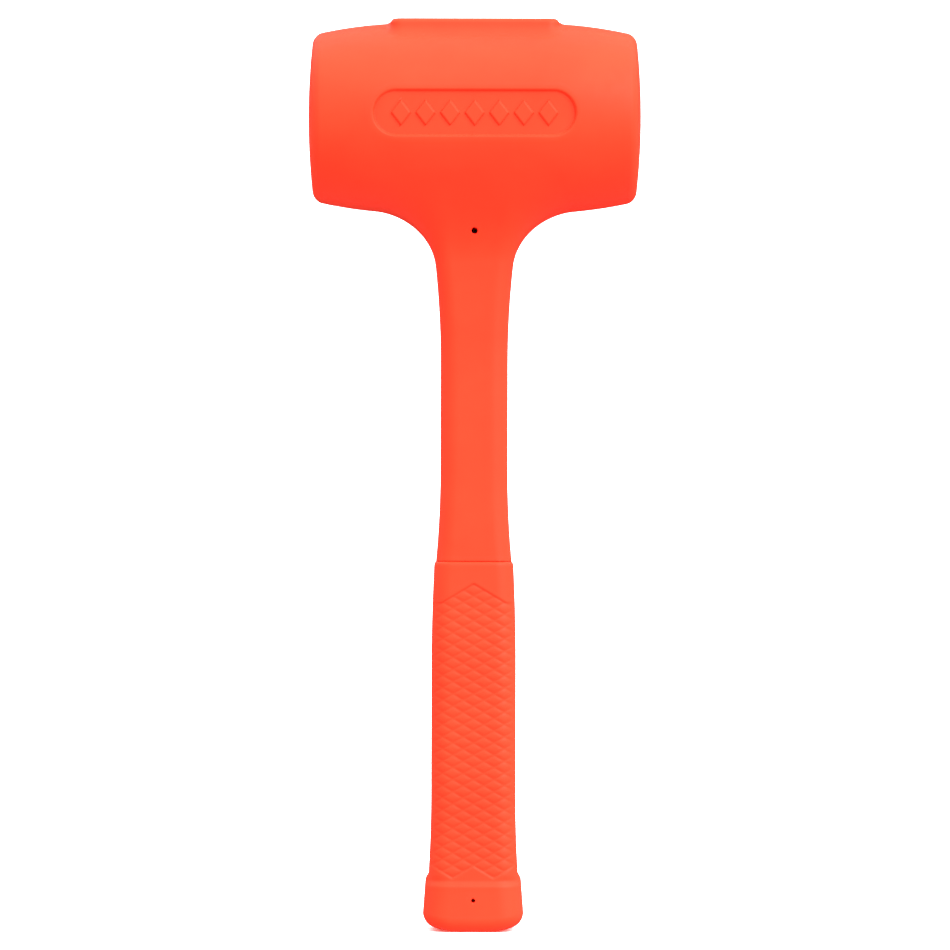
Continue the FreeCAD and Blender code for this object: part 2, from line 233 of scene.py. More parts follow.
@dataclass(frozen=True)
class Core:
    """The part of the casting inside the grip sleeve."""

    bottom: float = 5.0
    top: float = 150.0
    half_width: float = 13.5
    half_depth: float = 10.6
    corner: float = 5.9

    def distance(self, p: Array) -> Array:
        """Measures the signed distances from points in mm to the core."""
        side = rounded_rectangle(p[:, 0], p[:, 1], self.half_width, self.half_depth, self.corner)
        return np.maximum(side, np.maximum(self.bottom - p[:, 2], p[:, 2] - self.top))


@dataclass(frozen=True)
class TopPad:
    """The flat pad on top of the head."""

    length: float = 66.4
    width: float = 36.6
    rise: float = 0.7
    draft: float = 0.2
    corner: float = 4.5
    edge: float = 1.8
    fillet: float = 2.2

    def distance(self, p: Array, barrel: Barrel) -> Array:
        """Measures the distance to the pad, down to the head's axis.

        Args:
            p: points in mm.
            barrel: the barrel that it stands on.

        Returns:
            Signed distances.
        """
        top = p[:, 2] - (barrel.axis_height + barrel.radius + self.rise)
        half_width = self.width / 2 - self.draft * np.clip(top, -barrel.radius, 0)
        outline = rounded_rectangle(p[:, 0], p[:, 1], self.length / 2, half_width, self.corner)
        return np.maximum(round_common(outline, top, self.edge), barrel.axis_height - p[:, 2])


@dataclass(frozen=True)
class Recess:
    """The stadium-shaped recess with its row of plain lozenges, on the front and the back."""

    length: float = 78.6
    height: float = 17.2
    depth: float = 2.6
    floor_radius: float = 0.4
    rim_radius: float = 0.9
    dip: float = 0.32
    dip_width: float = 2.8
    draft: float = 0.12
    lozenge_draft: float = 0.24
    lozenge_count: int = 7
    lozenge_pitch: float = 9.6
    lozenge_length: float = 8.0
    lozenge_height: float = 10.4
    lozenge_rise: float = 0.9
    lozenge_edge: float = 0.6

    def lozenges(self, p: Array, above_floor: Array, axis_height: float) -> Array:
        """Measures the distance to the row of lozenges.

        Args:
            p: points in mm.
            above_floor: each point's height above the recess floor.
            axis_height: height of the head's axis.

        Returns:
            Signed distances.
        """
        last = (self.lozenge_count - 1) / 2
        nearest = np.round(p[:, 0] / self.lozenge_pitch + last)
        place = np.clip(nearest, 0, self.lozenge_count - 1) - last
        u = np.abs(p[:, 0] - place * self.lozenge_pitch)
        v = np.abs(p[:, 2] - axis_height)
        half_u, half_v = self.lozenge_length / 2, self.lozenge_height / 2
        outline = (u * half_v + v * half_u - half_u * half_v) / math.hypot(half_u, half_v)
        sides = outline + self.lozenge_draft * above_floor
        return round_common(sides, above_floor - self.lozenge_rise, self.lozenge_edge)

    def outline(self, p: Array, barrel: Barrel) -> Array:
        """Measures the distance to the recess's outline, seen from the front.

        Args:
            p: points in mm.
            barrel: the barrel that it is cut into.

        Returns:
            Signed distances in the plane, negative inside the outline.
        """
        half_straight = (self.length - self.height) / 2
        past = np.maximum(np.abs(p[:, 0]) - half_straight, 0.0)
        return np.hypot(past, p[:, 2] - barrel.axis_height) - self.height / 2

    def dip_at(self, p: Array, barrel: Barrel) -> Array:
        """Finds how far, in mm, the barrel's surface dips on its way to the rim."""
        near = np.clip(1 - self.outline(p, barrel) / self.dip_width, 0, 1)
        return np.where(np.abs(p[:, 1]) > barrel.radius / 2, self.dip * near * near, 0.0)

    def distance(self, p: Array, barrel: Barrel, side: Side) -> Array:
        """Measures the distance to the space of one recess.

        Args:
            p: points in mm.
            barrel: the barrel that it is cut into.
            side: the side of the head that it is on.

        Returns:
            Signed distances, negative in the open space.
        """
        above_floor = side.value * p[:, 1] - (barrel.radius - self.depth)
        walls = self.outline(p, barrel) - self.draft * above_floor
        space = round_common(walls, -above_floor, self.floor_radius)
        return np.maximum(space, -self.lozenges(p, above_floor, barrel.axis_height))


@dataclass(frozen=True)
class PinHole:
    """A hole left by a mould pin, from the front and the back down to the rod."""

    height: float
    diameter: float
    rim: float = 0.3

    def distance(self, p: Array) -> Array:
        """Measures the signed distances from points in mm to the hole's round space."""
        return np.hypot(p[:, 0], p[:, 2] - self.height) - self.diameter / 2


BUTT_HOLE = PinHole(height=12.6, diameter=1.7)
NECK_HOLE = PinHole(height=276.5, diameter=2.5)


@dataclass(frozen=True)
class SkeletonSpace:
    """The hollow in the casting that the steel canister and its rod fill."""

    canister_radius: float = 25.4
    canister_half_length: float = 46.0
    rod_radius: float = 5.5
    rod_bottom: float = 8.0
    seam: float = 42.0
    weld_crown: float = 0.7
    weld_half_width: float = 1.8
    weld_root: float = 0.6
    rod_weld_leg: float = 4.5

    def distance(self, p: Array, axis_height: float) -> Array:
        """Measures the distance to the hollow.

        Args:
            p: points in mm.
            axis_height: height of the head's axis.

        Returns:
            Signed distances, negative in the hollow.
        """
        reach = np.hypot(p[:, 1], p[:, 2] - axis_height)
        beyond_end = np.abs(p[:, 0]) - self.canister_half_length
        canister = np.maximum(reach - self.canister_radius, beyond_end)
        bead_radius = (self.weld_half_width**2 + self.weld_crown**2) / (2 * self.weld_crown)
        bead_centre = self.canister_radius + self.weld_crown - bead_radius
        beads = np.hypot(np.abs(p[:, 0]) - self.seam, reach - bead_centre) - bead_radius
        from_rod = np.hypot(p[:, 0], p[:, 1])
        rod = np.maximum(from_rod - self.rod_radius, self.rod_bottom - p[:, 2])
        rod = np.maximum(rod, p[:, 2] - axis_height)
        space = round_union(canister, rod, self.rod_weld_leg)
        return np.minimum(space, np.maximum(beads, self.canister_radius - self.weld_root - reach))


# ---------------------------------------------------------------------------------------------
# Meshes
# ---------------------------------------------------------------------------------------------


def vertex_places(bm: bmesh.types.BMesh) -> Array:
    """Lists where a mesh's vertices are."""
    return np.array([v.co[:] for v in bm.verts])


def draft_mesh(vertices: Array, faces: list[list[int]]) -> bmesh.types.BMesh:
    """Starts an editable mesh from its vertices and faces.

    Args:
        vertices: places in mm.
        faces: the vertex numbers of each face.

    Returns:
        The mesh, in mm.
    """
    mesh = bpy.data.meshes.new("draft")
    mesh.from_pydata(vertices.tolist(), [], faces)
    bm = bmesh.new()
    bm.from_mesh(mesh)
    bpy.data.meshes.remove(mesh)
    return bm


def add_object(name: str, data: bpy.types.ID) -> bpy.types.Object:
    """Adds a mesh, light or camera to the scene as an object.

    Args:
        name: the object's name.
        data: what it shows.

    Returns:
        The object.
    """
    obj = bpy.data.objects.new(name, data)
    bpy.context.scene.collection.objects.link(obj)
    return obj


@dataclass
class SurfaceNet:
    """Lays a net of quads over the surface of a distance field and refines it where it turns."""

    distance: DistanceField
    relax_rounds: int = 3
    settle_rounds: int = 4
    refine_step: float = 0.4

    def lay(self, axes: Sequence[Array]) -> tuple[Array, Array]:
        """Builds the net on a grid of points.

        Args:
            axes: the grid's coordinates along X, Y and Z.

        Returns:
            The vertices in mm and the quads as vertex numbers.
        """
        shape = tuple(len(a) for a in axes)
        values = np.empty(shape)
        grid_y, grid_z = np.meshgrid(axes[1], axes[2], indexing="ij")
        for i, x in enumerate(axes[0]):
            slab = np.column_stack([np.full(grid_y.size, x), grid_y.ravel(), grid_z.ravel()])
            values[i] = self.distance(slab).reshape(grid_y.shape)
        inside = values < 0
        sums = np.zeros((int(np.prod(shape)), 3))
        counts = np.zeros(len(sums))
        rings = []
        for axis in range(3):
            near, far = [slice(None)] * 3, [slice(None)] * 3
            near[axis], far[axis] = slice(None, -1), slice(1, None)
            crossing = np.argwhere(inside[tuple(near)] != inside[tuple(far)])
            start = tuple(crossing.T)
            ahead = crossing.copy()
            ahead[:, axis] += 1
            end = tuple(ahead.T)
            share = values[start] / (values[start] - values[end])
            point = np.column_stack([axes[k][crossing[:, k]] for k in range(3)])
            point[:, axis] += share * (axes[axis][ahead[:, axis]] - axes[axis][crossing[:, axis]])
            second, third = (axis + 1) % 3, (axis + 2) % 3
            ring = []
            for back_second, back_third in ((0, 0), (1, 0), (1, 1), (0, 1)):
                cell = crossing.copy()
                cell[:, second] -= back_second
                cell[:, third] -= back_third
                flat = np.ravel_multi_index(tuple(cell.T), shape)
                np.add.at(sums, flat, point)
                np.add.at(counts, flat, 1)
                ring.append(flat)
            ring = np.column_stack(ring)
            outward = inside[start]
            ring[~outward] = ring[~outward][:, ::-1]
            rings.append(ring)
        quads = np.concatenate(rings)
        used, flat_quads = np.unique(quads, return_inverse=True)
        vertices = sums[used] / counts[used][:, None]
        return vertices, flat_quads.reshape(quads.shape)

    def relax(self, vertices: Array, quads: Array) -> Array:
        """Evens out the net and keeps it on the surface.

        Args:
            vertices: vertices in mm.
            quads: quads as vertex numbers.

        Returns:
            The evened vertices.
        """
        ends = np.concatenate([quads[:, [i, (i + 1) % 4]] for i in range(4)])
        count = np.bincount(ends[:, 0], minlength=len(vertices)).astype(float)
        for _ in range(self.relax_rounds):
            total = np.column_stack(
                [np.bincount(ends[:, 0], vertices[ends[:, 1], k], len(vertices)) for k in range(3)]
            )
            vertices = 0.5 * vertices + 0.5 * total / count[:, None]
            vertices = settle(self.distance, vertices, 1)
        return settle(self.distance, vertices, self.settle_rounds)

    def refine(self, bm: bmesh.types.BMesh, turn: float, wanted: Callable[[Array], Array]) -> int:
        """Splits the edges of faces over which the surface turns sharply, and settles them again.

        Args:
            bm: the net, in mm.
            turn: the angle between neighbouring normals that calls for a split, in degrees.
            wanted: tells, for each point, whether the net may be refined there.

        Returns:
            The number of edges that were split.
        """
        bm.verts.ensure_lookup_table()
        points = vertex_places(bm)
        normals = slopes(self.distance, points)
        ends = np.array([(e.verts[0].index, e.verts[1].index) for e in bm.edges])
        agreement = np.einsum("ij,ij->i", normals[ends[:, 0]], normals[ends[:, 1]])
        middle = points[ends].mean(axis=1)
        sharp = (agreement < math.cos(math.radians(turn))) & wanted(middle)
        bm.edges.ensure_lookup_table()
        faces = {f for i in np.flatnonzero(sharp) for f in bm.edges[i].link_faces}
        edges = list({e for f in faces for e in f.edges})
        if edges:
            bmesh.ops.subdivide_edges(bm, edges=edges, cuts=1, use_grid_fill=True)
            bm.verts.index_update()
            points = settle(self.distance, vertex_places(bm), self.settle_rounds, self.refine_step)
            for vert, place in zip(bm.verts, points):
                vert.co = place
        return len(edges)


def finish_mesh(
    name: str, bm: bmesh.types.BMesh, normals: DistanceField | None = None
) -> bpy.types.Object:
    """Turns a mesh in millimetres into a smooth-shaded object in metres.

    Args:
        name: the object's name.
        bm: the mesh; it is freed.
        normals: a distance field to take exact normals from, or None.

    Returns:
        The object, linked to the scene.
    """
    mesh = bpy.data.meshes.new(name)
    points = vertex_places(bm)
    bmesh.ops.scale(bm, vec=(MM, MM, MM), verts=bm.verts)
    bm.to_mesh(mesh)
    bm.free()
    mesh.shade_smooth()
    if normals is not None:
        mesh.normals_split_custom_set_from_vertices(slopes(normals, points).tolist())
    mesh.validate()
    return add_object(name, mesh)


def adopt(
    obj: bpy.types.Object, body: str, slot: str, material: bpy.types.Material, *nodes: str
) -> None:
    """Gives a piece its body and its finish, in place of some CAD nodes.

    Args:
        obj: the piece.
        body: the body that it rides on.
        slot: a material slot name; not used.
        material: its finish.
        nodes: the CAD nodes that it stands for.
    """
    obj.data.materials.clear()
    obj.data.materials.append(material)
    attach(obj, body)
    if nodes:
        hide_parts(*nodes)
    log.info("%s: %d faces on body %s", obj.name, len(obj.data.polygons), body)


@dataclass
class HeadCasting:
    """The head, neck, shaft and core as one urethane casting, hollow for the skeleton."""

    barrel: Barrel = Barrel()
    shaft: Shaft = Shaft()
    core: Core = Core()
    pad: TopPad = TopPad()
    recess: Recess = Recess()
    space: SkeletonSpace = SkeletonSpace()
    holes: tuple[PinHole, ...] = (NECK_HOLE, BUTT_HOLE)
    neck_fillet: float = 21.0
    cell: float = 1.19
    core_cell: float = 4.0
    grid_shift: float = 0.13
    turns: tuple[float, ...] = (13.0, 13.0)
    refined_past_rim: float = 2.0
    refined_within: float = 0.6

    def outside(self, p: Array) -> Array:
        """Measures the distance to the casting's outer form.

        Args:
            p: points in mm.

        Returns:
            Signed distances.
        """
        barrel = self.barrel.distance(p) + self.recess.dip_at(p, self.barrel)
        body = round_union(barrel, self.shaft.distance(p), self.neck_fillet)
        body = round_union(body, self.pad.distance(p, self.barrel), self.pad.fillet)
        body = np.minimum(body, self.core.distance(p))
        for side in Side:
            space = self.recess.distance(p, self.barrel, side)
            body = round_common(body, -space, self.recess.rim_radius)
        return body

    def distance(self, p: Array) -> Array:
        """Measures the distance to the whole casting.

        Args:
            p: points in mm.

        Returns:
            Signed distances.
        """
        body = self.outside(p)
        for hole in self.holes:
            body = round_common(body, -hole.distance(p), hole.rim)
        return np.maximum(body, -self.space.distance(p, self.barrel.axis_height))

    def axes(self) -> list[Array]:
        """Places the grid's planes: even over the head and shaft, and wide apart along the core.

        Returns:
            The grid's coordinates along X, Y and Z.
        """
        margin = 2 * self.cell
        half_length = self.barrel.length / 2 + margin
        half_depth = self.barrel.radius + margin
        top = self.barrel.axis_height + self.barrel.radius + self.pad.rise + margin
        across = np.arange(0.5, half_length / self.cell) * self.cell
        deep = np.arange(0.5, half_depth / self.cell) * self.cell
        fine_bottom = self.shaft.bottom - 2 * margin
        fine = np.arange(fine_bottom, top + self.cell, self.cell) + self.grid_shift
        coarse_bottom = self.core.bottom - 2 * self.core_cell
        coarse = np.arange(fine[0] - self.core_cell, coarse_bottom, -self.core_cell)
        return [
            np.concatenate([-across[::-1], across]),
            np.concatenate([-deep[::-1], deep]),
            np.concatenate([coarse[::-1], fine]),
        ]

    def may_refine(self, p: Array) -> Array:
        """Tells where the net may be refined: on the outer form above the sleeve's rim."""
        above = p[:, 2] > self.shaft.bottom - self.refined_past_rim
        return above & (np.abs(self.outside(p)) < self.refined_within)

    def build(self) -> bpy.types.Object:
        """Builds the casting.

        Returns:
            The casting's object.
        """
        net = SurfaceNet(self.distance)
        vertices, quads = net.lay(self.axes())
        vertices = net.relax(vertices, quads)
        log.info("casting net: %d quads", len(quads))
        bm = draft_mesh(vertices, quads.tolist())
        for turn in self.turns:
            log.info("casting net: %d edges split", net.refine(bm, turn, self.may_refine))
        bm.normal_update()
        return finish_mesh("head_casting_form", bm, self.distance)


@dataclass(frozen=True)
class DiamondPattern:
    """The raised diamonds of the grip, cut straight in from the front and the back."""

    pitch_x: float = 8.12
    pitch_z: float = 4.82
    top_centre: float = 134.8
    top_level: float = 129.6
    foot: float = 21.3
    depth: float = 0.38
    sunk: float = 0.14
    roundness: float = 3.0
    border_width: float = 0.5
    fade_from: float = 0.86
    fade_to: float = 0.2

    def depth_at(self, x: Array, z: Array, facing: Array) -> Array:
        """Finds how deep the pattern lies below the plain surface.

        Args:
            x: places across the grip, in mm.
            z: heights, in mm.
            facing: how squarely the surface faces the front or the back, from 0 to 1.

        Returns:
            Depths in mm, measured along Y.
        """
        slant = math.hypot(self.pitch_x, self.pitch_z)
        line_gap = self.pitch_x * self.pitch_z / slant
        u, v = x / self.pitch_x, (z - self.top_centre) / self.pitch_z
        pillow = np.ones(x.shape)
        for position in (u + v, u - v):
            from_line = 1 - 2 * np.abs(position - np.round(position))
            pillow = pillow * (1 - np.power(1 - from_line, self.roundness))
        slope = self.pitch_z / self.pitch_x
        level = self.pitch_x / slant
        gable = (self.top_centre + self.pitch_z / 2 - slope * np.abs(x) - z) * level
        inside = np.maximum(gable, self.top_level - z)
        zigzag = (z - self.foot - slope * np.abs(np.abs(x) - self.pitch_x)) * level
        inside = np.minimum(inside, zigzag)
        cut = self.sunk + self.depth * (1 - pillow)
        edge = np.clip(2 * inside / line_gap, 0, 1)
        rise = 1 - np.power(1 - edge, self.roundness)
        cut = np.where(edge < 1, np.maximum(cut, self.sunk + self.depth * (1 - rise)), cut)
        border = np.clip(1 + inside / self.border_width, 0, 1)
        outer = np.power(border, 2) * (self.sunk + self.depth)
        fade = np.clip((facing - self.fade_to) / (self.fade_from - self.fade_to), 0, 1)
        return np.where(inside > 0, cut, outer) * fade * fade * (3 - 2 * fade)


@dataclass
class GripSleeve:
    """The textured sleeve with its flared butt, open at the top for the casting's core."""

    top: float = GRIP_TOP
    width: float = 33.4
    depth: float = 27.6
    corner: float = 7.5
    straight_low: float = 55.0
    straight_high: float = 104.0
    taper_radius: float = 820.0
    swell_radius: float = 530.0
    lip_radius: float = 1.2
    butt_width: float = 39.8
    butt_depth: float = 34.0
    butt_corner: float = 10.0
    butt_widest: float = 7.0
    butt_draft: float = 0.073
    butt_flat_width: float = 14.2
    butt_crown_radius: float = 12.0
    butt_slope: float = 11.6
    butt_edge: float = 5.3
    shoulder_low: float = 19.8
    shoulder_high: float = 22.6
    shoulder_drop: float = 2.2
    core: Core = Core()
    pin_hole: PinHole = BUTT_HOLE
    pattern: DiamondPattern = DiamondPattern()
    steps_in_diamond: int = 8
    pattern_columns: int = 27
    corner_columns: int = 9
    side_columns: int = 8
    underside_rings: int = 30
    first_ring: float = 0.06
    edge_rows: int = 12
    first_edge_row: float = 0.12
    edge_above_widest: float = 1.6
    settle_rounds: int = 16
    settle_step: float = 0.6
    first_butt_row: float = 2.4
    butt_row_gap: float = 0.8
    last_butt_gap: float = 0.3
    most_pattern_rows: int = 400
    collar_rows: int = 7
    lip_angles: tuple[int, ...] = (20, 40, 60, 80, 90)
    bore_rows: int = 15
    bore_floor_rings: tuple[float, ...] = (0.6, 0.2)
    hole_segments: int = 48

    def half_sizes(self, z: Array) -> tuple[Array, Array, Array]:
        """Finds the sleeve's half width, half depth and corner radius.

        Args:
            z: heights above the butt's rounded edge, in mm.

        Returns:
            The three sizes at those heights.
        """
        swell = arc_rise(np.clip(self.straight_low - z, 0, self.straight_low), self.swell_radius)
        taper = arc_rise(np.clip(z - self.straight_high, 0, self.top), self.taper_radius)
        wide = self.above_shoulder(z)
        deep = self.above_shoulder(z + self.shoulder_drop)
        draft = self.butt_draft * (z - self.butt_widest)
        half_width = wide * (self.width / 2 + swell - taper)
        half_width = half_width + (1 - wide) * (self.butt_width / 2 - draft)
        half_depth = deep * (self.depth / 2 + swell - taper)
        half_depth = half_depth + (1 - deep) * (self.butt_depth / 2 - draft)
        return half_width, half_depth, self.butt_corner + wide * (self.corner - self.butt_corner)

    def above_shoulder(self, z: Array) -> Array:
        """Tells how far up the shoulder a height is: 0 below it, 1 above it, eased between."""
        share = np.clip((z - self.shoulder_low) / (self.shoulder_high - self.shoulder_low), 0, 1)
        return share * share * (3 - 2 * share)

    def quarter(self, a: float, b: float, c: float, scale: float) -> Array:
        """Places one quarter of a section's points, from the middle of the front to the side.

        Args:
            a: half width in mm.
            b: half depth in mm.
            c: corner radius in mm.
            scale: share of the pattern's column spacing to use.

        Returns:
            Points (x, y) with positive x and y.
        """
        step = self.pattern.pitch_x / 2 / self.steps_in_diamond * scale
        x = np.arange(self.pattern_columns + 1) * step
        past = np.clip(x - (a - c), 0, c)
        y = b - c + np.sqrt(c * c - past * past)
        start = math.asin(float(past[-1]) / c)
        angles = np.linspace(start, math.pi / 2, self.corner_columns + 1)[1:]
        corner = np.column_stack([a - c + c * np.sin(angles), b - c + c * np.cos(angles)])
        side = np.linspace(b - c, 0, self.side_columns + 1)[1:]
        return np.concatenate(
            [np.column_stack([x, y]), corner, np.column_stack([np.full(len(side), a), side])]
        )

    def section(self, a: float, b: float, c: float, scale: float = 1.0) -> Array:
        """Places a whole section's points, anticlockwise seen from above, from the front's middle.

        Args:
            a: half width in mm.
            b: half depth in mm.
            c: corner radius in mm.
            scale: share of the pattern's column spacing to use.

        Returns:
            Points (x, y) once round the section.
        """
        quarter = self.quarter(a, b, c, scale)
        front_right = quarter * (1, -1)
        back_right = quarter[-2::-1]
        back_left = quarter[1:] * (-1, 1)
        front_left = quarter[-2:0:-1] * (-1, -1)
        return np.concatenate([front_right, back_right, back_left, front_left])

    def underside(self, p: Array) -> Array:
        """Measures the distance to the butt's lower half.

        Args:
            p: points in mm.

        Returns:
            Signed distances.
        """
        draft = self.butt_draft * (p[:, 2] - self.butt_widest)
        half_width, half_depth = self.butt_width / 2 - draft, self.butt_depth / 2 - draft
        side = rounded_rectangle(p[:, 0], p[:, 1], half_width, half_depth, self.butt_corner)
        return round_common(side, self.underside_rise(p) - p[:, 2], self.butt_edge)

    def underside_rise(self, p: Array) -> Array:
        """Finds how high the underside stands, which slopes up from its flat middle to each side.

        Args:
            p: points in mm.

        Returns:
            Heights in mm below which there is nothing.
        """
        run = np.maximum(np.abs(p[:, 0]) - self.butt_flat_width / 2, 0.0)
        slope = math.radians(self.butt_slope)
        bend = self.butt_crown_radius * math.sin(slope)
        past = np.maximum(run - bend, 0.0)
        return arc_rise(np.minimum(run, bend), self.butt_crown_radius) + past * math.tan(slope)

    def underside_rows(self) -> list[Array]:
        """Places the rows from the middle of the underside out to the butt's side.

        Returns:
            Rows of points in mm.
        """
        outline = self.section(self.butt_width / 2, self.butt_depth / 2, self.butt_corner)
        starts = []
        for share in np.linspace(self.first_ring, 1.0, self.underside_rings):
            flat = raised(outline * share, 0.0)
            flat[:, 2] = self.underside_rise(flat)
            starts.append(flat)
        rim = settle(self.underside, starts[-1], self.settle_rounds, self.settle_step)
        top = self.butt_widest + self.edge_above_widest
        for level in np.linspace(self.first_edge_row, 1.0, self.edge_rows):
            up = rim.copy()
            up[:, 2] += (top - up[:, 2]) * level
            starts.append(up)
        return [settle(self.underside, row, self.settle_rounds, self.settle_step) for row in starts]

    def side_heights(self) -> Array:
        """Chooses the heights of the rows up the side, in step with the pattern's rows.

        Returns:
            Heights in mm, from above the butt's rounded edge to below the lip.
        """
        step = self.pattern.pitch_z / 2 / self.steps_in_diamond
        numbers = np.arange(-self.most_pattern_rows, self.most_pattern_rows)
        rows_up = numbers * step + self.pattern.top_centre
        low = self.shoulder_low - self.shoulder_drop - self.butt_row_gap
        high = self.pattern.top_centre + self.pattern.pitch_z
        pattern_rows = rows_up[(rows_up > low) & (rows_up < high)]
        butt_bottom = self.butt_widest + self.first_butt_row
        butt_rows = np.arange(butt_bottom, pattern_rows[0] - self.last_butt_gap, self.butt_row_gap)
        collar_top = self.top - self.lip_radius
        collar = np.linspace(pattern_rows[-1], collar_top, self.collar_rows + 1)[1:]
        return np.concatenate([butt_rows, pattern_rows, collar])

    def side_rows(self) -> list[Array]:
        """Places the rows up the outside, with the pattern cut into them.

        Returns:
            Rows of points in mm.
        """
        rows = []
        for z in self.side_heights():
            a, b, c = (float(v) for v in self.half_sizes(np.float64(z)))
            flat = self.section(a, b, c)
            past = np.clip(np.abs(flat[:, 0]) - (a - c), 0, c) / c
            facing = np.where(np.abs(flat[:, 1]) > b - c - 1e-6, np.sqrt(1 - past * past), 0.0)
            cut = self.pattern.depth_at(flat[:, 0], np.full(len(flat), z), facing)
            flat[:, 1] -= np.sign(flat[:, 1]) * cut
            rows.append(raised(flat, z))
        return rows

    def lip_and_bore_rows(self) -> list[Array]:
        """Places the rows over the lip, down the inside and to the middle of the bore's floor.

        Returns:
            Rows of points in mm.
        """
        a, b, c = (float(v) for v in self.half_sizes(np.float64(self.top)))
        rows = []
        for angle in np.radians(self.lip_angles):
            inset = self.lip_radius * (1 - math.cos(angle))
            height = self.top - self.lip_radius * (1 - math.sin(angle))
            flat = self.section(a - inset, b - inset, c - inset, 1 - inset / a)
            rows.append(raised(flat, height))
        core = self.core
        scale = core.half_width / a
        bore = self.section(core.half_width, core.half_depth, core.corner, scale)
        heights = np.linspace(self.top, core.bottom, self.bore_rows)
        rows += [raised(bore, height) for height in heights]
        rows += [raised(bore * share, core.bottom) for share in self.bore_floor_rings]
        return rows

    def build(self) -> bpy.types.Object:
        """Builds the sleeve as one closed skin with its two pin holes.

        Returns:
            The sleeve's object.
        """
        rows = self.underside_rows() + self.side_rows() + self.lip_and_bore_rows()
        around = len(rows[0])
        index = np.arange(len(rows) * around).reshape(len(rows), around)
        turned = np.roll(index, -1, axis=1)
        quads = np.stack([index[:-1], turned[:-1], turned[1:], index[1:]], axis=-1).reshape(-1, 4)
        faces = quads.tolist() + [index[0][::-1].tolist(), index[-1].tolist()]
        bm = draft_mesh(np.concatenate(rows), faces)
        bmesh.ops.recalc_face_normals(bm, faces=bm.faces)
        sleeve = finish_mesh("grip_sleeve_form", bm)
        self.drill(sleeve)
        return sleeve

    def drill(self, sleeve: bpy.types.Object) -> None:
        """Drills the pin hole through the front and the back of the sleeve.

        Args:
            sleeve: the sleeve's object.
        """
        bm = bmesh.new()
        turn = Matrix.Rotation(math.pi / 2, 4, "X")
        bmesh.ops.create_cone(
            bm,
            cap_ends=True,
            segments=self.hole_segments,
            radius1=self.pin_hole.diameter / 2,
            radius2=self.pin_hole.diameter / 2,
            depth=2 * self.butt_depth,
            matrix=Matrix.Translation((0, 0, self.pin_hole.height)) @ turn,
        )
        drill = finish_mesh("pin_drill", bm)
        cut = sleeve.modifiers.new("pin_hole", "BOOLEAN")
        cut.operation = "DIFFERENCE"
        cut.solver = "EXACT"
        cut.object = drill
        shape = sleeve.evaluated_get(bpy.context.evaluated_depsgraph_get())
        mesh = bpy.data.meshes.new_from_object(shape)
        sleeve.modifiers.clear()
        sleeve.data = mesh
        bpy.data.objects.remove(drill)


@dataclass
class ShotCharge:
    """The loose steel balls, in nested layers."""

    diameter: float = 6.0
    gap: float = 0.06
    bore_radius: float = 22.4
    wall_clearance: float = 0.3
    length: float = 61.0
    level: float = 14.0
    axis_height: float = HEAD_AXIS_HEIGHT
    ball_subdivisions: int = 3

    def centres(self) -> list[tuple[float, float, float]]:
        """Works out where the balls lie.

        Returns:
            The centres in mm.
        """
        pitch = self.diameter + self.gap
        row_pitch = pitch * math.sqrt(3) / 2
        layer_pitch = pitch * math.sqrt(2 / 3)
        furthest = self.bore_radius - self.diameter / 2 - self.wall_clearance
        rows = math.ceil(furthest / row_pitch)
        columns = math.ceil(furthest / pitch) + 1
        layers = int((self.length - self.diameter) / layer_pitch) + 1
        found = []
        for layer in range(layers):
            x = (layer - (layers - 1) / 2) * layer_pitch
            nested = layer % 2
            for row in range(-rows, rows + 1):
                z = (row + nested / 3) * row_pitch
                for column in range(-columns, columns + 1):
                    y = (column + (row % 2) / 2 + nested / 2) * pitch
                    if math.hypot(y, z) <= furthest and z <= self.level:
                        found.append((x, y, self.axis_height + z))
        return found

    def build(self) -> bpy.types.Object:
        """Builds all the balls as one piece.

        Returns:
            The charge's object.
        """
        ball = bmesh.new()
        bmesh.ops.create_icosphere(
            ball, subdivisions=self.ball_subdivisions, radius=self.diameter / 2
        )
        points = vertex_places(ball)
        faces = np.array([[v.index for v in f.verts] for f in ball.faces])
        ball.free()
        centres = np.array(self.centres())
        vertices = (centres[:, None, :] + points[None, :, :]).reshape(-1, 3)
        numbers = faces[None, :, :] + np.arange(len(centres))[:, None, None] * len(points)
        bm = draft_mesh(vertices, numbers.reshape(-1, 3).tolist())
        return finish_mesh("shot_charge_form", bm)


# ---------------------------------------------------------------------------------------------
# Finishes
# ---------------------------------------------------------------------------------------------


# The strength of each finer octave of noise, and the range that most noise values lie in.
OCTAVE_SHARE = 0.55
NOISE_LOW, NOISE_HIGH = 0.3, 0.7


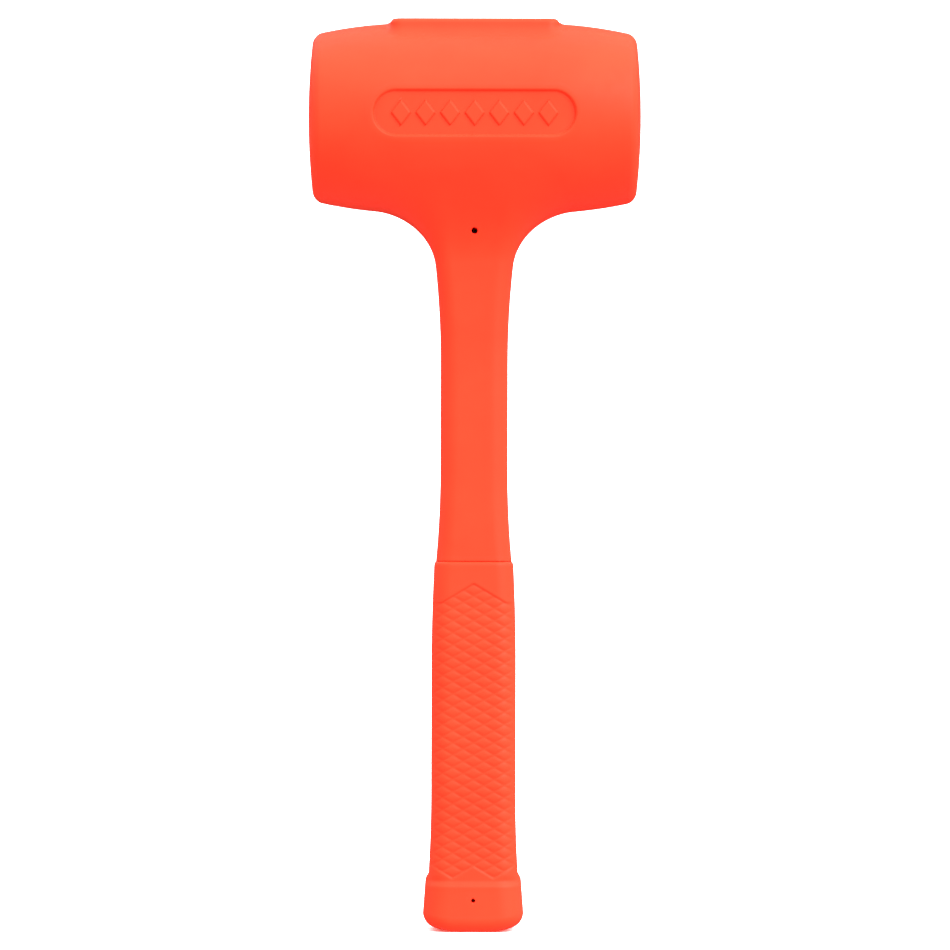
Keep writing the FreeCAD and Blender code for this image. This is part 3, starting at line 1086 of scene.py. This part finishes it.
@dataclass
class NodeSheet:
    """A material's node tree, with short ways to add nodes and join them."""

    material: bpy.types.Material

    @classmethod
    def fresh(cls, name: str) -> "NodeSheet":
        """Starts a material with a shader and an output.

        Args:
            name: the material's name.

        Returns:
            The material's sheet.
        """
        material = bpy.data.materials.new(name)
        material.use_nodes = True
        return cls(material)

    @property
    def shader(self) -> bpy.types.Node:
        """The material's main shader."""
        return self.material.node_tree.nodes["Principled BSDF"]

    def add(self, kind: str, **values: object) -> bpy.types.Node:
        """Adds a node.

        Args:
            kind: the node's type.
            values: settings of the node, or of its input sockets by name with _ for a space.

        Returns:
            The node.
        """
        node = self.material.node_tree.nodes.new(kind)
        sockets = {s.name.replace(" ", "_"): s for s in reversed(list(node.inputs))}
        for key, value in values.items():
            if key in sockets:
                sockets[key].default_value = value
            else:
                setattr(node, key, value)
        return node

    def join(self, start: bpy.types.NodeSocket, end: bpy.types.NodeSocket) -> None:
        """Joins an output socket to an input socket."""
        self.material.node_tree.links.new(start, end)

    def ramp(
        self, factor: bpy.types.NodeSocket, stops: Sequence[tuple[float, Colour]]
    ) -> bpy.types.NodeSocket:
        """Maps a value to a colour.

        Args:
            factor: the value.
            stops: places from 0 to 1 with their colours.

        Returns:
            The colour's socket.
        """
        node = self.add("ShaderNodeValToRGB")
        elements = node.color_ramp.elements
        while len(elements) < len(stops):
            elements.new(0.5)
        for element, (place, colour) in zip(elements, stops):
            element.position = place
            element.color = (*colour, 1.0)
        self.join(factor, node.inputs["Fac"])
        return node.outputs["Color"]

    def noise(
        self, scale: float, detail: float = 3.0, stretch: Sequence[float] = (1, 1, 1)
    ) -> bpy.types.NodeSocket:
        """Adds noise fixed to the piece.

        Args:
            scale: features in a metre, roughly.
            detail: octaves of finer noise.
            stretch: factors on the coordinates along X, Y and Z.

        Returns:
            The noise value's socket.
        """
        place = self.add("ShaderNodeTexCoord")
        mapping = self.add("ShaderNodeMapping", Scale=tuple(stretch))
        self.join(place.outputs["Object"], mapping.inputs["Vector"])
        node = self.add("ShaderNodeTexNoise", Scale=scale, Detail=detail, Roughness=OCTAVE_SHARE)
        self.join(mapping.outputs["Vector"], node.inputs["Vector"])
        return node.outputs["Fac"]

    def spread(self, value: bpy.types.NodeSocket, low: float, high: float) -> bpy.types.NodeSocket:
        """Maps the middle of a noise value to a range.

        Args:
            value: the noise.
            low: what NOISE_LOW becomes.
            high: what NOISE_HIGH becomes.

        Returns:
            The mapped value's socket.
        """
        ends = {"From_Min": NOISE_LOW, "From_Max": NOISE_HIGH, "To_Min": low, "To_Max": high}
        node = self.add("ShaderNodeMapRange", **ends)
        self.join(value, node.inputs["Value"])
        return node.outputs["Result"]

    def bump(self, layers: Iterable[tuple[bpy.types.NodeSocket, float]]) -> None:
        """Stacks bumps and joins them to the shader.

        Args:
            layers: heights from 0 to 1, each with the distance in metres that 1 stands for.
        """
        normal = None
        for height, distance in layers:
            node = self.add("ShaderNodeBump", Strength=1.0, Distance=distance)
            self.join(height, node.inputs["Height"])
            if normal is not None:
                self.join(normal, node.inputs["Normal"])
            normal = node.outputs["Normal"]
        if normal is not None:
            self.join(normal, self.shader.inputs["Normal"])


@dataclass(frozen=True)
class UrethaneFinish:
    """Satin cast urethane in a bright orange-red, with the fine grain of its mould."""

    name: str
    colour: Colour = (0.97, 0.036, 0.012)
    deep_colour: Colour = (0.95, 0.031, 0.010)
    roughness: float = 0.5
    roughness_swing: float = 0.05
    cloud_scale: float = 28.0
    cloud_stops: tuple[float, float] = (0.3, 0.62)
    patch_scale: float = 260.0
    grain_scale: float = 5200.0
    grain_height: float = 6e-6
    ripple_scale: float = 90.0
    ripple_height: float = 2.5e-5
    specular: float = 0.12
    ior: float = 1.45

    def build(self) -> bpy.types.Material:
        """Builds the material.

        Returns:
            The urethane's material.
        """
        sheet = NodeSheet.fresh(self.name)
        shader = sheet.shader
        shader.inputs["IOR"].default_value = self.ior
        shader.inputs["Specular IOR Level"].default_value = self.specular
        cloud = sheet.noise(self.cloud_scale, detail=4.0)
        stops = list(zip(self.cloud_stops, (self.deep_colour, self.colour)))
        sheet.join(sheet.ramp(cloud, stops), shader.inputs["Base Color"])
        patch = sheet.noise(self.patch_scale, detail=5.0)
        low, high = self.roughness - self.roughness_swing, self.roughness + self.roughness_swing
        sheet.join(sheet.spread(patch, low, high), shader.inputs["Roughness"])
        grain = sheet.noise(self.grain_scale, detail=2.0)
        ripple = sheet.noise(self.ripple_scale, detail=2.0)
        sheet.bump([(ripple, self.ripple_height), (grain, self.grain_height)])
        return sheet.material


class SteelKind(Enum):
    """How a steel surface was made, as the stretch of its scratches along X, Y and Z."""

    DRAWN_TUBE = (0.04, 1.0, 1.0)
    TURNED_CAP = (0.6, 0.6, 0.6)
    DRAWN_BAR = (1.0, 1.0, 0.03)
    BALL = (0.5, 0.5, 0.5)


@dataclass(frozen=True)
class SteelFinish:
    """Bare steel: drawn, turned or rolled, with a little oil staining."""

    name: str
    kind: SteelKind
    colour: Colour = (0.50, 0.49, 0.475)
    stain: Colour = (0.30, 0.27, 0.24)
    roughness: float = 0.32
    smoother: float = 0.08
    rougher: float = 0.1
    cloud_scale: float = 110.0
    cloud_stops: tuple[float, float] = (0.34, 0.55)
    scratch_scale: float = 2400.0
    scratch_height: float = 8e-6

    def build(self) -> bpy.types.Material:
        """Builds the material.

        Returns:
            The steel's material.
        """
        sheet = NodeSheet.fresh(self.name)
        shader = sheet.shader
        shader.inputs["Metallic"].default_value = 1.0
        scratches = sheet.noise(self.scratch_scale, detail=4.0, stretch=self.kind.value)
        cloud = sheet.noise(self.cloud_scale, detail=5.0)
        stops = list(zip(self.cloud_stops, (self.stain, self.colour)))
        sheet.join(sheet.ramp(cloud, stops), shader.inputs["Base Color"])
        low, high = self.roughness - self.smoother, self.roughness + self.rougher
        sheet.join(sheet.spread(scratches, low, high), shader.inputs["Roughness"])
        sheet.bump([(scratches, self.scratch_height)])
        return sheet.material


@dataclass(frozen=True)
class WeldFinish:
    """Weld metal with heat tint over fine ripples."""

    name: str
    colour: Colour = (0.36, 0.34, 0.33)
    straw: Colour = (0.42, 0.27, 0.12)
    blue: Colour = (0.13, 0.15, 0.24)
    tint_scale: float = 240.0
    tint_stops: tuple[float, float, float] = (0.3, 0.45, 0.62)
    ripple_scale: float = 1500.0
    ripple_height: float = 3e-5
    roughness: tuple[float, float] = (0.35, 0.6)

    def build(self) -> bpy.types.Material:
        """Builds the material.

        Returns:
            The weld's material.
        """
        sheet = NodeSheet.fresh(self.name)
        shader = sheet.shader
        shader.inputs["Metallic"].default_value = 1.0
        tint = sheet.noise(self.tint_scale, detail=3.0)
        stops = list(zip(self.tint_stops, (self.blue, self.straw, self.colour)))
        sheet.join(sheet.ramp(tint, stops), shader.inputs["Base Color"])
        ripple = sheet.noise(self.ripple_scale, detail=4.0)
        sheet.join(sheet.spread(ripple, *self.roughness), shader.inputs["Roughness"])
        sheet.bump([(ripple, self.ripple_height)])
        return sheet.material


@dataclass(frozen=True)
class BackdropFinish:
    """Seamless white paper."""

    name: str = "studio_paper"
    colour: Colour = (0.94, 0.94, 0.94)
    fibre_scale: float = 14.0
    fibre_shade: float = 0.985
    roughness: float = 0.9
    specular: float = 0.1

    def build(self) -> bpy.types.Material:
        """Builds the material.

        Returns:
            The paper's material.
        """
        sheet = NodeSheet.fresh(self.name)
        shader = sheet.shader
        fibre = sheet.noise(self.fibre_scale, detail=3.0)
        dim = tuple(self.fibre_shade * c for c in self.colour)
        stops = [(NOISE_LOW, dim), (NOISE_HIGH, self.colour)]
        sheet.join(sheet.ramp(fibre, stops), shader.inputs["Base Color"])
        shader.inputs["Roughness"].default_value = self.roughness
        shader.inputs["Specular IOR Level"].default_value = self.specular
        return sheet.material


# ---------------------------------------------------------------------------------------------
# Steel pieces and studio
# ---------------------------------------------------------------------------------------------


@dataclass(frozen=True)
class SteelSkeleton:
    """The canister, its caps, the rod and the welds, which keep their designed shapes."""

    tube: SteelFinish = SteelFinish("canister_tube_steel", SteelKind.DRAWN_TUBE)
    cap: SteelFinish = SteelFinish("canister_cap_steel", SteelKind.TURNED_CAP)
    bar: SteelFinish = SteelFinish("handle_rod_steel", SteelKind.DRAWN_BAR)
    weld: WeldFinish = WeldFinish("weld_bead_metal")

    def dress(self) -> None:
        """Gives every steel node its finish."""
        groups = {
            self.tube: ["canister_tube"],
            self.cap: ["canister_cap_left", "canister_cap_right"],
            self.bar: ["handle_rod"],
            self.weld: ["cap_weld_left", "cap_weld_right", "rod_weld"],
        }
        for finish, names in groups.items():
            material = finish.build()
            for name in names:
                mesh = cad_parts[name].data
                mesh.materials.clear()
                mesh.materials.append(material)
                mesh.shade_smooth()
                log.info("%s: finish %s", name, finish.name)


@dataclass(frozen=True)
class SoftBox:
    """A rectangular studio light that points at a place."""

    name: str
    place: tuple[float, float, float]
    target: tuple[float, float, float]
    width: float
    height: float
    power: float

    def build(self) -> None:
        """Adds the light to the scene."""
        data = bpy.data.lights.new(self.name, "AREA")
        data.shape = "RECTANGLE"
        data.size = self.width
        data.size_y = self.height
        data.energy = self.power
        obj = add_object(self.name, data)
        obj.location = self.place
        direction = Vector(self.target) - Vector(self.place)
        obj.rotation_euler = direction.to_track_quat("-Z", "Y").to_euler()


@dataclass(frozen=True)
class Air:
    """The room's light: bright above, dim below and to the left, not mirrored in gloss."""

    floor_light: float = 1.15
    horizon_light: float = 1.65
    top_light: float = 4.2
    levels: tuple[float, float, float] = (0.42, 0.52, 0.95)
    left_share: float = 0.82
    right_share: float = 1.2

    def build(self) -> None:
        """Builds the world and makes it the scene's own."""
        world = bpy.data.worlds.new("studio_air")
        world.use_nodes = True
        nodes, links = world.node_tree.nodes, world.node_tree.links
        place = nodes.new("ShaderNodeTexCoord")
        split = nodes.new("ShaderNodeSeparateXYZ")
        links.new(place.outputs["Generated"], split.inputs["Vector"])
        level = nodes.new("ShaderNodeMapRange")
        level.inputs["From Min"].default_value = -1.0
        links.new(split.outputs["Z"], level.inputs["Value"])
        ramp = nodes.new("ShaderNodeValToRGB")
        ramp.color_ramp.interpolation = "EASE"
        elements = ramp.color_ramp.elements
        elements.new(0.5)
        lights = (self.floor_light, self.horizon_light, self.top_light)
        for element, at, light in zip(elements, self.levels, lights):
            element.position = at
            element.color = (light, light, light, 1.0)
        links.new(level.outputs["Result"], ramp.inputs["Fac"])
        links.new(ramp.outputs["Color"], nodes["Background"].inputs["Color"])
        aside = nodes.new("ShaderNodeMapRange")
        aside.inputs["From Min"].default_value = -1.0
        aside.inputs["To Min"].default_value = self.left_share
        aside.inputs["To Max"].default_value = self.right_share
        links.new(split.outputs["X"], aside.inputs["Value"])
        links.new(aside.outputs["Result"], nodes["Background"].inputs["Strength"])
        bpy.context.scene.world = world
        world.cycles_visibility.glossy = False


@dataclass(frozen=True)
class Studio:
    """White seamless paper, soft boxes and a long-lens camera square on to the front."""

    paper: BackdropFinish = BackdropFinish()
    air: Air = Air()
    half_width: float = 5.4
    front: float = -3.2
    back: float = 3.4
    sweep_radius: float = 1.43
    sweep_points: int = 17
    wall_top: float = 5.7
    camera_distance: float = 2.143
    camera_height: float = 0.1802
    camera_aside: float = 0.0004
    camera_roll: float = 0.118
    view_width: float = 0.37685
    sensor: float = 36.0
    clip_end: float = 50.0
    soft_boxes: tuple[SoftBox, ...] = (
        SoftBox("key_box", (1.5, -1.5, 1.5), (0.0, 0.0, 0.25), 1.9, 1.9, 84.0),
        SoftBox("back_box", (-1.0, 1.5, 1.6), (0.0, 0.0, 0.25), 1.4, 1.4, 7.0),
    )

    def backdrop(self) -> bpy.types.Object:
        """Builds the paper as one sheet: floor, sweep and wall.

        Returns:
            The paper's object.
        """
        profile = [(self.front, 0.0)]
        bend = self.back - self.sweep_radius
        for angle in np.linspace(0, math.pi / 2, self.sweep_points):
            y = bend + self.sweep_radius * math.sin(angle)
            profile.append((y, self.sweep_radius * (1 - math.cos(angle))))
        profile.append((self.back, self.wall_top))
        vertices = [(x, y, z) for y, z in profile for x in (-self.half_width, self.half_width)]
        faces = [(2 * i, 2 * i + 1, 2 * i + 3, 2 * i + 2) for i in range(len(profile) - 1)]
        mesh = bpy.data.meshes.new("paper")
        mesh.from_pydata(vertices, [], faces)
        mesh.shade_smooth()
        mesh.materials.append(self.paper.build())
        obj = add_object("paper", mesh)
        obj.visible_diffuse = False
        obj.visible_glossy = False
        return obj

    def camera(self) -> None:
        """Adds the camera and makes it the scene's own."""
        data = bpy.data.cameras.new("camera")
        data.sensor_width = self.sensor
        data.lens = self.sensor * self.camera_distance / self.view_width
        data.clip_end = self.clip_end
        obj = add_object("camera", data)
        obj.location = (self.camera_aside, -self.camera_distance, self.camera_height)
        level = Euler((math.pi / 2, 0.0, 0.0)).to_matrix()
        roll = Matrix.Rotation(math.radians(self.camera_roll), 3, "Z")
        obj.rotation_euler = (level @ roll).to_euler()
        bpy.context.scene.camera = obj

    def build(self) -> None:
        """Builds the studio."""
        self.backdrop()
        for box in self.soft_boxes:
            box.build()
        self.air.build()
        bpy.context.scene.view_settings.view_transform = "Standard"
        self.camera()


def main() -> None:
    """Builds every piece of the mallet, then the studio."""
    logging.basicConfig(level=logging.INFO, format="%(name)s: %(message)s")
    casting = HeadCasting().build()
    cast_urethane = UrethaneFinish("cast_urethane")
    adopt(casting, MALLET_BODY, "casting_urethane", cast_urethane.build(), "head_casting")
    sleeve = GripSleeve().build()
    grip_urethane = UrethaneFinish("grip_urethane")
    adopt(sleeve, MALLET_BODY, "grip_urethane", grip_urethane.build(), "grip_sleeve")
    shot = ShotCharge().build()
    ball_steel = SteelFinish("shot_steel", SteelKind.BALL, roughness=0.2)
    adopt(shot, SHOT_BODY, "shot_steel", ball_steel.build(), "shot_charge")
    SteelSkeleton().dress()
    Studio().build()


if __name__ == "__main__":
    main()
